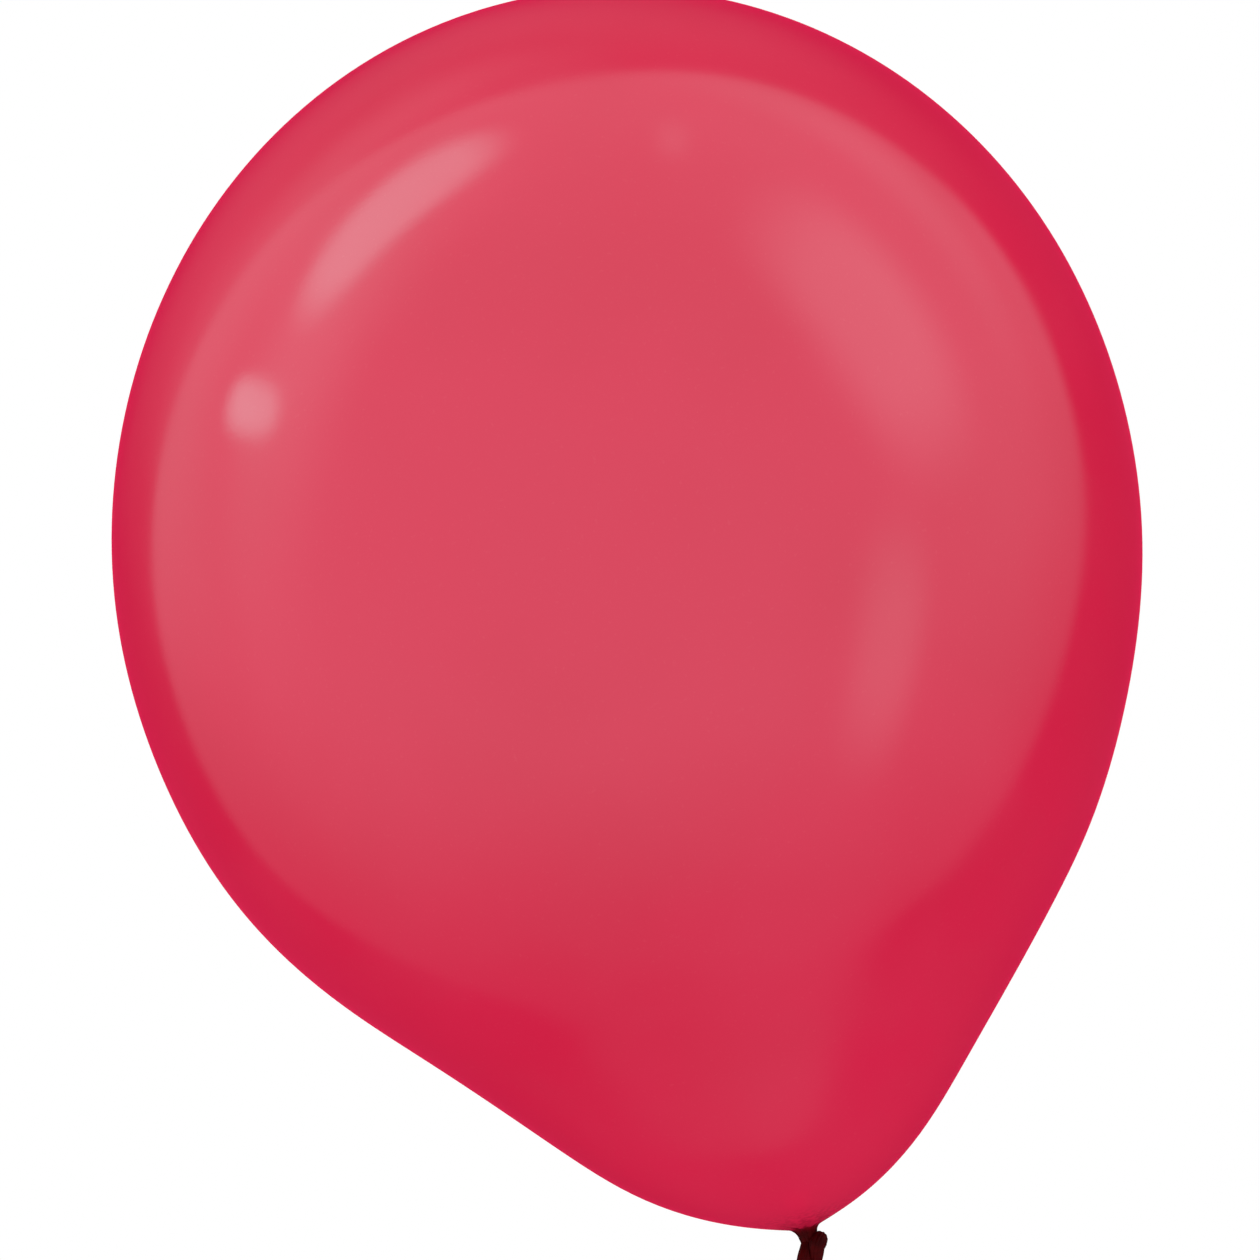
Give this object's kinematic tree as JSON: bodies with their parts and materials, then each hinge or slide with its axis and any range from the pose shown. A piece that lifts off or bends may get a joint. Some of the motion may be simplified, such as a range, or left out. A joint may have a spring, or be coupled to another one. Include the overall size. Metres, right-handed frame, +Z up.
{
  "type": "latex balloon",
  "caption": "Inflated round latex balloon, pear-shaped, with a gathered neck, an overhand knot, and a short open tail with a rolled lip.",
  "frame": {"origin": "middle of the waist of the gathered neck, where a ribbon is tied", "axes": "+Z up along the long axis, from the knot to the crown; +X and +Y across, and the tail swings about +Y"},
  "size_m": [0.3, 0.3, 0.406],
  "materials": {
    "envelope_latex": "stretched pearl latex, glossy",
    "neck_latex": "unstretched pearl latex, satin"
  },
  "bodies": {
    "knot": {"knot_core": "neck_latex", "knot_loop": "neck_latex"},
    "neck": {"neck_gather": "neck_latex"},
    "envelope": {"envelope": "envelope_latex"},
    "tail": {"neck_tail": "neck_latex", "rolled_lip": "neck_latex"}
  },
  "joints": [
    {"name": "neck_lean_side", "type": "hinge", "parent": "knot", "child": "neck", "pos_m": [0, 0, -0.0012], "axis": [0, 1, 0], "range_deg": [-30, 30], "stiffness_Nm_per_rad": 0.04},
    {"name": "neck_lean_fore", "type": "hinge", "parent": "neck", "child": "envelope", "pos_m": [0, 0, 0.0012], "axis": [1, 0, 0], "range_deg": [-30, 30], "stiffness_Nm_per_rad": 0.04},
    {"name": "tail_swing", "type": "hinge", "parent": "knot", "child": "tail", "pos_m": [0, 0, -0.013], "axis": [0, 1, 0], "range_deg": [-60, 60], "stiffness_Nm_per_rad": 0.0005}
  ]
}
